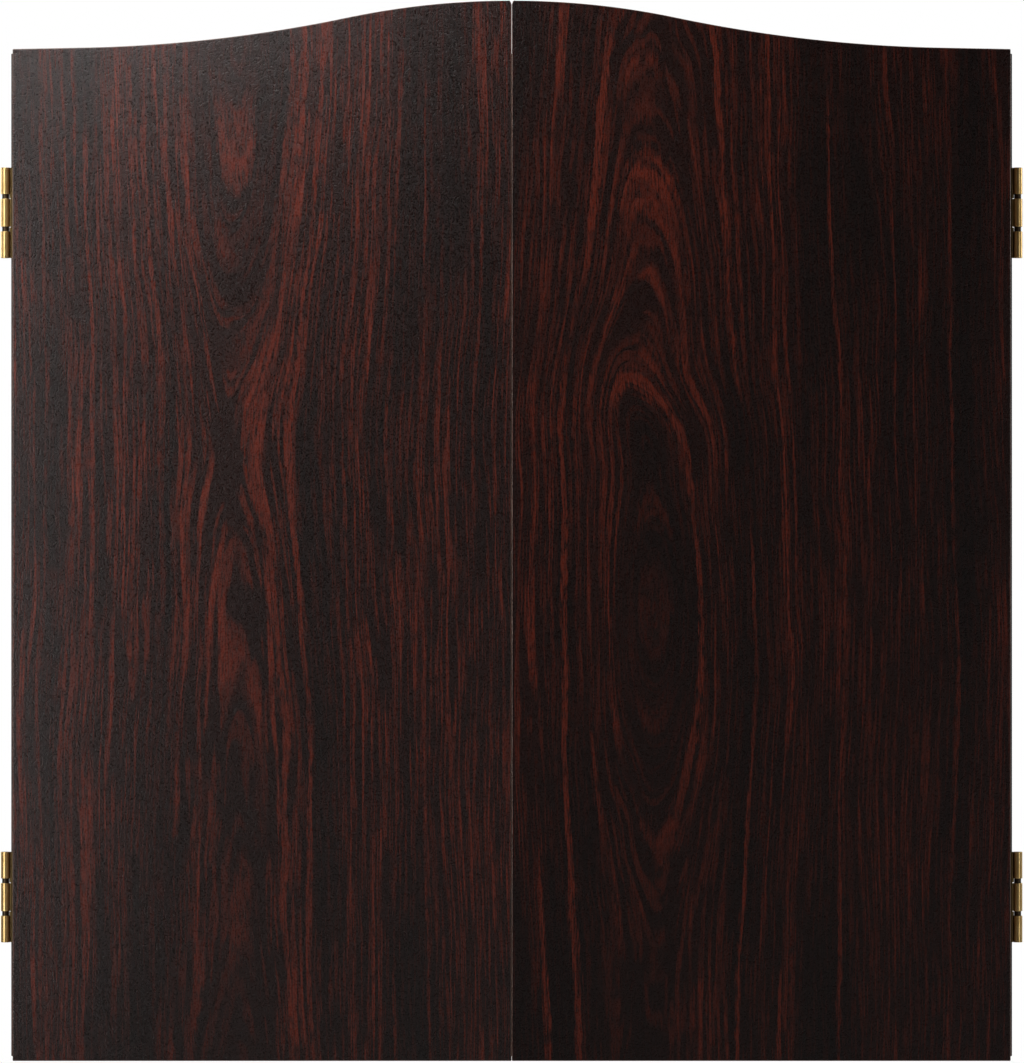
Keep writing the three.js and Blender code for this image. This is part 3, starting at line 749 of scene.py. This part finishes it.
DOOR_EDGE = 0.5 * MM
MEETING_EDGE = 0.07 * MM
WORN_CORNER = (0.9 * MM, 2.0 * MM)
BOARD_EDGE = 0.5 * MM
PANEL_PLAY = 0.25 * MM
FACE_ANGLE = 0.93
WALL_HOLE_RADIUS = 2.5 * MM
WALL_HOLE_ACROSS = 203 * MM
WALL_HOLE_UP = 200 * MM


def screws_into(side):
    """The screws in a door, all put in from its back."""
    hinges = [f"{side}_{level}_hinge_door_screw_{i}" for level in LEVELS for i in (1, 2)]
    return [*hinges, *(f"{side}_dart_holder_screw_{i}" for i in (1, 2)), f"{side}_strike_screw"]


def door_outline(node):
    """The outline of the CAD door's front face, as (x, z) points in order round it. The band on the edge
    where the doors meet brings them closer together, and its top corner is worn."""
    low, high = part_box(node)
    near = 0.01 * MM
    points = {(v.co.x, v.co.z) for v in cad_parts[node].data.vertices if v.co.y < low.y + near}
    top = [(x, z) for x, z in points if z > low.z + near and abs(x) > 1 * MM]
    side = low.x + high.x
    outer = low.x if side < 0 else high.x
    meeting = math.copysign(MEETING_EDGE, side)
    top.append((meeting, high.z - WORN_CORNER[1]))
    top.append((math.copysign(WORN_CORNER[0], side), high.z))
    bottom = [(x, low.z) for x in sorted((outer, meeting), reverse=True)]
    return [*bottom, *sorted(top)]


def make_door(side, materials):
    """A board with a figured face on both sides and a band round its edges, lighter partly by painted
    highlight.
    """
    node = f"{side}_door"
    low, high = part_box(node)
    part = solid(f"{side}_door_panel", prism(door_outline(node), low.y, high.y, upright_plane))
    soften(part, DOOR_EDGE, 4)
    combine(part, "DIFFERENCE", *(screw_hole(screw, "back") for screw in screws_into(side)))
    piece(part, node, (materials[node], materials["band"]), node)
    for face in part.data.polygons:
        face.material_index = 0 if abs(face.normal.y) > FACE_ANGLE else 1


def make_board(node, material, screws, facing):
    """A carcass board with a rebate for the back panel."""
    low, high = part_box(node)
    panel_low, panel_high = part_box("back_panel")
    margin = Vector((PANEL_PLAY,) * 3)
    part = solid(f"{node}_laminate", block(low, high))
    combine(part, "DIFFERENCE", block(panel_low - margin, panel_high + margin))
    soften(part, BOARD_EDGE)
    combine(part, "DIFFERENCE", *(screw_hole(screw, facing) for screw in screws))
    piece(part, "cabinet", (material,), node)


def make_carcass(materials):
    for side in SIDES:
        screws = [f"{side}_{level}_hinge_body_screw_{i}" for level in LEVELS for i in (1, 2)]
        make_board(f"{side}_side", materials["upright"], screws, "front")
    catch_screws = [f"{side}_catch_screw" for side in SIDES]
    make_board("top_board", materials["lying"], catch_screws, "down")
    make_board("bottom_board", materials["lying"], (), "down")


def make_back_panel(materials):
    """A hardboard sheet with four holes for wall screws."""
    low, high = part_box("back_panel")
    part = solid("back_panel_sheet", block(low, high))
    soften(part, 0.3 * MM, 2)
    radius = WALL_HOLE_RADIUS
    rim = radius + 0.5 * MM
    out = 1 * MM
    holes = []
    for across in (-WALL_HOLE_ACROSS, WALL_HOLE_ACROSS):
        for up in (-WALL_HOLE_UP, WALL_HOLE_UP):
            profile = [(0, low.y - out), (rim + out, low.y - out), (radius, low.y + rim - radius)]
            tool = turned([*profile, (radius, high.y + out), (0, high.y + out)])
            matrix = Matrix.Translation((across, 0, up)) @ Matrix.Rotation(-math.pi / 2, 4, "X")
            bmesh.ops.transform(tool, matrix=matrix, verts=tool.verts)
            holes.append(tool)
    screws = (screw_hole(f"board_bracket_screw_{i}", "front") for i in range(1, 5))
    combine(part, "DIFFERENCE", *holes, *screws)
    piece(part, "cabinet", (materials["panel"],), "back_panel")


# ---------------------------------------------------------------------------------------------------
# Hinges

LEAF_SHEET = 0.75 * MM
LEAF_GAP = 0.5 * MM
KNUCKLE_RADIUS = 2.6 * MM
KNUCKLE_BORE = 2.0 * MM
KNUCKLE_END = 0.25 * MM
KNUCKLE_SPACE = 2.5 * MM
WEB_TIP = 1.95 * MM
WEB_GAP = 0.3 * MM
LEAF_CORNER = 1.2 * MM
SEAM = 0.2 * MM
TAB_OVERLAP = 2 * MM
TAB_INSET = 0.02 * MM


def knuckle(bottom, top):
    """A rolled knuckle with rounded ends."""
    end = KNUCKLE_END
    outside = [(KNUCKLE_RADIUS - end, bottom), (KNUCKLE_RADIUS - 0.3 * end, bottom + 0.3 * end)]
    outside += [(KNUCKLE_RADIUS, bottom + end)]
    mirrored = [(radius, top + bottom - height) for radius, height in reversed(outside)]
    return turned([(KNUCKLE_BORE, bottom), *outside, *mirrored, (KNUCKLE_BORE, top)], 64)


def knuckle_reaches(node, axis):
    """The (bottom, top) of each knuckle of a CAD leaf: where its barrel's outermost line is."""
    rim = KNUCKLE_RADIUS - 0.01 * MM
    points = [v.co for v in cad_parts[node].data.vertices]
    barrel = sorted({round(p.z, 5) for p in points if abs(p.y - axis.y) > rim})
    return list(zip(barrel[::2], barrel[1::2], strict=True))


def web_reaches(turning):
    """The (bottom, top) of the carcass leaf's webs, which close the gaps on both sides of the knuckle that
    turns."""
    bottom, top = turning
    reach = KNUCKLE_SPACE + 0.5 * MM
    return ((bottom - reach, bottom - WEB_GAP), (top + WEB_GAP, top + reach))


def make_leaf(side, level, which, towards, materials):
    """A leaf of sheet brass whose tabs are rolled round the pin. towards is +1 for the carcass's leaf."""
    node = f"{side}_{level}_hinge_{which}_leaf"
    pin_low, pin_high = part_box(f"{side}_{level}_hinge_pin")
    axis = (pin_low + pin_high) / 2
    low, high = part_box(node)
    inward = -SIDES[side]
    end = high.x if inward > 0 else low.x
    edge = axis.x + inward * (KNUCKLE_RADIUS + 0.3 * MM)
    near = axis.y + towards * LEAF_GAP / 2
    far = near + towards * LEAF_SHEET
    corners = ((edge, low.z, 0), (end, low.z, LEAF_CORNER), (end, high.z, LEAF_CORNER), (edge, high.z, 0))
    part = solid(f"{node}_rolled", prism(rounded(corners), near, far, upright_plane))
    soften(part, 0.1 * MM, 2)
    for bottom, top in knuckle_reaches(node, axis):
        tab_x = sorted((axis.x, edge + inward * TAB_OVERLAP))
        tab_low = Vector((tab_x[0], min(near, far), bottom + TAB_INSET))
        tab_high = Vector((tab_x[1], max(near, far), top - TAB_INSET))
        barrel = knuckle(bottom, top)
        bmesh.ops.translate(barrel, vec=(axis.x, axis.y, 0), verts=barrel.verts)
        combine(part, "UNION", block(tab_low, tab_high), barrel)
        under, over = bottom - MM, top + MM
        bore = turned([(0, under), (KNUCKLE_BORE, under), (KNUCKLE_BORE, over), (0, over)], 64)
        bmesh.ops.translate(bore, vec=(axis.x, axis.y, 0), verts=bore.verts)
        seam_x = sorted((axis.x + inward * KNUCKLE_BORE * 0.9, axis.x + inward * (KNUCKLE_RADIUS + SEAM)))
        seam_y = sorted((near, near - towards * SEAM))
        seam = block((seam_x[0], seam_y[0], under), (seam_x[1], seam_y[1], over))
        combine(part, "DIFFERENCE", bore, seam)
    if which == "body":
        knuckles = knuckle_reaches(f"{side}_{level}_hinge_door_leaf", axis)
        tip = axis.x + inward * WEB_TIP
        across = sorted((tip, edge + inward * TAB_OVERLAP))
        deep = sorted((near, far))
        for start, finish in web_reaches(knuckles[0]):
            web = block((across[0], deep[0], start), (across[1], deep[1], finish))
            combine(part, "UNION", web)
    facing = "front" if towards > 0 else "back"
    screws = (f"{side}_{level}_hinge_{which}_screw_{i}" for i in (1, 2))
    combine(part, "DIFFERENCE", *(screw_hole(screw, facing) for screw in screws))
    body = "cabinet" if which == "body" else f"{side}_door"
    piece(part, body, (materials["brass"],), node)


def make_pin(side, level, materials):
    """A steel pin with chamfered ends."""
    node = f"{side}_{level}_hinge_pin"
    low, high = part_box(node)
    radius = (high.x - low.x) / 2
    half = (high.z - low.z) / 2
    chamfer = 0.35 * MM
    end = [(radius, half - chamfer), (radius - chamfer, half), (0, half)]
    profile = [(r, -z) for r, z in reversed(end)] + end
    part = solid(f"{node}_turned", turned(profile, 64))
    part.location = (low + high) / 2
    piece(part, "cabinet", (materials["pin"],), node)


def make_hinges(materials):
    for side in SIDES:
        for level in LEVELS:
            make_leaf(side, level, "body", 1, materials)
            make_leaf(side, level, "door", -1, materials)
            make_pin(side, level, materials)


# ---------------------------------------------------------------------------------------------------
# Fittings inside

BRACKET_SHEET = 1.5 * MM
BRACKET_CENTRE = 17 * MM
BRACKET_FOOT = 20 * MM
SLOT_HALF = 3.5 * MM
CATCH_DEPTH = 16 * MM
CATCH_PLATE = 2.5 * MM
POLE_SHEET = 1.2 * MM
HOLDER_SHEET = 3 * MM
DART_HOLE_RADIUS = 3.5 * MM
DART_HOLE_SPACING = 24 * MM
DART_HOLE_FROM_DOOR = 15 * MM


def make_bracket(materials):
    """A bent steel U bracket: two flanges, and a raised centre with a slot open at the top."""
    low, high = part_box("board_bracket")
    centre, foot = BRACKET_CENTRE, BRACKET_FOOT
    outer, inner = 2 * MM, 0.6 * MM
    half = [
        (high.x, high.y, 0),
        (high.x, high.y - BRACKET_SHEET, 0),
        (foot + MM, high.y - BRACKET_SHEET, inner),
        (centre + MM, low.y, outer),
    ]
    under = [(centre, low.y + BRACKET_SHEET, inner), (foot, high.y, outer)]
    mirror = [(-a, b, radius) for a, b, radius in reversed(half)]
    section = [*half, *mirror, *((-a, b, radius) for a, b, radius in reversed(under)), *under]
    part = solid("board_bracket_bent", prism(rounded(section), low.z, high.z, plan_plane))
    plate = rounded_rectangle((low.x, low.z), (high.x, high.z), 5 * MM)
    combine(part, "INTERSECT", prism(plate, low.y - MM, high.y + MM, upright_plane))
    flare = 2.5 * MM
    top = high.z + MM
    slot = [(-SLOT_HALF - flare, top, 0), (-SLOT_HALF, top - 2 * flare, 1.5 * MM)]
    slot += [(-SLOT_HALF, -SLOT_HALF, 0.99 * SLOT_HALF), (SLOT_HALF, -SLOT_HALF, 0.99 * SLOT_HALF)]
    slot += [(SLOT_HALF, top - 2 * flare, 1.5 * MM), (SLOT_HALF + flare, top, 0)]
    combine(part, "DIFFERENCE", prism(rounded(slot, 12), low.y - MM, high.y + MM, upright_plane))
    soften(part, 0.25 * MM, 2)
    screws = (screw_hole(f"board_bracket_screw_{i}", "front") for i in range(1, 5))
    combine(part, "DIFFERENCE", *screws)
    piece(part, "cabinet", (materials["paint"],), "board_bracket")


def make_catch(materials):
    """A moulded housing with a screw plate behind it, and two magnets between steel poles."""
    low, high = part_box("catch_housing")
    plate = CATCH_PLATE
    middle = low.y + CATCH_DEPTH
    section = [
        (low.y, low.z, 0),
        (middle, low.z, 0),
        (middle, high.z - plate, 1.5 * MM),
        (high.y, high.z - plate, 0),
        (high.y, high.z, 0),
        (low.y, high.z, 0),
    ]
    part = solid("catch_housing_moulded", prism(rounded(section), low.x, high.x, section_plane))
    tools = []
    play = 0.3 * MM
    for side in SIDES:
        magnet_low, magnet_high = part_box(f"{side}_catch_magnet")
        margin = Vector((play,) * 3)
        tools.append(block(magnet_low - margin - Vector((0, MM, 0)), magnet_high + margin))
    recess = rounded_rectangle((-3.2 * MM, low.z + 2.5 * MM), (3.2 * MM, high.z - 2.5 * MM), MM)
    tools.append(prism(recess, low.y - MM, low.y + 0.8 * MM, upright_plane))
    combine(part, "DIFFERENCE", *tools)
    soften(part, 0.4 * MM)
    screws = (screw_hole(f"{side}_catch_screw", "down") for side in SIDES)
    combine(part, "DIFFERENCE", *screws)
    piece(part, "cabinet", (materials["catch"],), "catch_housing")
    for side in SIDES:
        make_magnet(side, materials)


def make_magnet(side, materials):
    """A ferrite block between two steel pole plates, which stand a little proud of it."""
    node = f"{side}_catch_magnet"
    low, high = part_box(node)
    pole = POLE_SHEET
    step = Vector((0, 0.4 * MM, 0.2 * MM))
    inner_low = Vector((low.x + pole, low.y, low.z)) + step
    inner_high = Vector((high.x - pole, high.y, high.z)) - step
    part = solid(f"{node}_and_poles", block(inner_low, inner_high))
    left = block(low, (low.x + pole + 0.05 * MM, high.y, high.z))
    right = block((high.x - pole - 0.05 * MM, low.y, low.z), high)
    combine(part, "UNION", left, right)
    soften(part, 0.15 * MM, 2)
    piece(part, "cabinet", (materials["ferrite"], materials["steel"]), node)
    for face in part.data.polygons:
        in_pole = not low.x + pole < face.center.x < high.x - pole
        face.material_index = 1 if in_pole else 0


def make_strike(side, materials):
    """A thin steel plate with round corners."""
    node = f"{side}_strike_plate"
    low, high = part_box(node)
    outline = rounded_rectangle((low.x, low.z), (high.x, high.z), 2 * MM)
    part = solid(f"{node}_pressed", prism(outline, low.y, high.y, upright_plane))
    soften(part, 0.25 * MM, 2)
    combine(part, "DIFFERENCE", screw_hole(f"{side}_strike_screw", "back"))
    piece(part, f"{side}_door", (materials["steel"],), node)


def make_scoreboard(side, materials):
    """A dry-wipe sheet in a mitred frame of wrapped moulding."""
    node = f"{side}_scoreboard"
    low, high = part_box(node)
    board = solid(f"{node}_sheet", block(low, high))
    soften(board, 0.2 * MM, 2)
    piece(board, f"{side}_door", (materials[f"{side}_film"],), node)
    frame_low, frame_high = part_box(f"{node}_frame")
    thick = frame_high.y - frame_low.y
    lip = low.x - PANEL_PLAY - frame_low.x
    profile = rounded([
        (0, 0, 0),
        (0, thick, 0.9 * MM),
        (0.55 * lip, thick, 1.5 * MM),
        (lip, 0.45 * thick, 0.8 * MM),
        (lip, 0, 0),
    ])
    bm = bmesh.new()
    rings = []
    for right, up in ((0, 0), (1, 0), (1, 1), (0, 1)):
        corner_x = high.x + PANEL_PLAY if right else low.x - PANEL_PLAY
        corner_z = high.z + PANEL_PLAY if up else low.z - PANEL_PLAY
        ring = []
        for out, rise in profile:
            x = corner_x + (out if right else -out)
            z = corner_z + (out if up else -out)
            ring.append(bm.verts.new((x, frame_low.y + rise, z)))
        rings.append(ring)
    for k in range(4):
        here, there = rings[k], rings[(k + 1) % 4]
        for i in range(len(profile)):
            j = (i + 1) % len(profile)
            face = bm.faces.new((here[i], here[j], there[j], there[i]))
            face.material_index = k % 2
    moulding = solid(f"{node}_frame_mitred", bm)
    indices = [face.material_index for face in moulding.data.polygons]
    grains = (materials["lying"], materials["upright"])
    piece(moulding, f"{side}_door", grains, f"{node}_frame")
    moulding.data.polygons.foreach_set("material_index", indices)


def make_dart_holder(side, materials):
    """A moulded angle: a flange on the door and a shelf with three chamfered holes."""
    node = f"{side}_dart_holder"
    low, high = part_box(node)
    sheet = HOLDER_SHEET
    section = [
        (low.y, low.z, MM),
        (high.y, low.z, MM),
        (high.y, low.z + sheet, MM),
        (low.y + sheet, low.z + sheet, 2 * MM),
        (low.y + sheet, high.z, 0.8 * MM),
        (low.y, high.z, 0.8 * MM),
    ]
    part = solid(f"{node}_moulded", prism(rounded(section), low.x, high.x, section_plane))
    shelf = [(low.x, low.y - MM, 0), (high.x, low.y - MM, 0)]
    shelf += [(high.x, high.y, 6 * MM), (low.x, high.y, 6 * MM)]
    combine(part, "INTERSECT", prism(rounded(shelf), low.z - MM, high.z + MM, plan_plane))
    flange = [(low.x, low.z - MM, 0), (high.x, low.z - MM, 0)]
    flange += [(high.x, high.z, 5 * MM), (low.x, high.z, 5 * MM)]
    combine(part, "INTERSECT", prism(rounded(flange), low.y - MM, high.y + MM, upright_plane))
    radius, chamfer = DART_HOLE_RADIUS, 0.7 * MM
    floor, top = low.z, low.z + sheet
    for place in (-1, 0, 1):
        profile = [
            (0, floor - MM),
            (radius + chamfer + MM, floor - MM),
            (radius, floor + chamfer),
            (radius, top - chamfer),
            (radius + chamfer + MM, top + MM),
            (0, top + MM),
        ]
        tool = turned(profile)
        across = (low.x + high.x) / 2 + place * DART_HOLE_SPACING
        centre = (across, low.y + DART_HOLE_FROM_DOOR, 0)
        bmesh.ops.translate(tool, vec=centre, verts=tool.verts)
        combine(part, "DIFFERENCE", tool)
    soften(part, 0.3 * MM, 2, 50.0)
    combine(part, "DIFFERENCE", *(screw_hole(f"{node}_screw_{i}", "back") for i in (1, 2)))
    piece(part, f"{side}_door", (materials["plastic"],), node)


# ---------------------------------------------------------------------------------------------------
# The whole


def make_screws(materials):
    """Every screw, each stopped at its own turn."""
    kinds = []
    for side in SIDES:
        door = f"{side}_door"
        for level in LEVELS:
            hinge = f"{side}_{level}_hinge"
            for i in (1, 2):
                kinds.append((f"{hinge}_body_screw_{i}", "front", "cabinet", "brass_screw", "brass"))
                kinds.append((f"{hinge}_door_screw_{i}", "back", door, "brass_screw", "brass"))
        for i in (1, 2):
            kinds.append((f"{side}_dart_holder_screw_{i}", "back", door, "steel_screw", "steel"))
        kinds.append((f"{side}_strike_screw", "back", door, "steel_screw", "steel"))
        kinds.append((f"{side}_catch_screw", "down", "cabinet", "steel_screw", "steel"))
    for i in range(1, 5):
        kinds.append((f"board_bracket_screw_{i}", "front", "cabinet", "steel_screw", "steel"))
    golden_angle = math.pi * (3 - math.sqrt(5))
    for index, (node, facing, body, slot, material) in enumerate(kinds):
        make_screw(node, facing, body, materials[material], index * golden_angle)


def main():
    bpy.context.scene.view_settings.view_transform = "Standard"
    make_camera()
    make_world()
    make_lights()
    make_floor()
    materials = make_materials()
    make_carcass(materials)
    make_back_panel(materials)
    make_bracket(materials)
    make_catch(materials)
    make_hinges(materials)
    for side in SIDES:
        make_door(side, materials)
        make_strike(side, materials)
        make_scoreboard(side, materials)
        make_dart_holder(side, materials)
    make_screws(materials)


main()
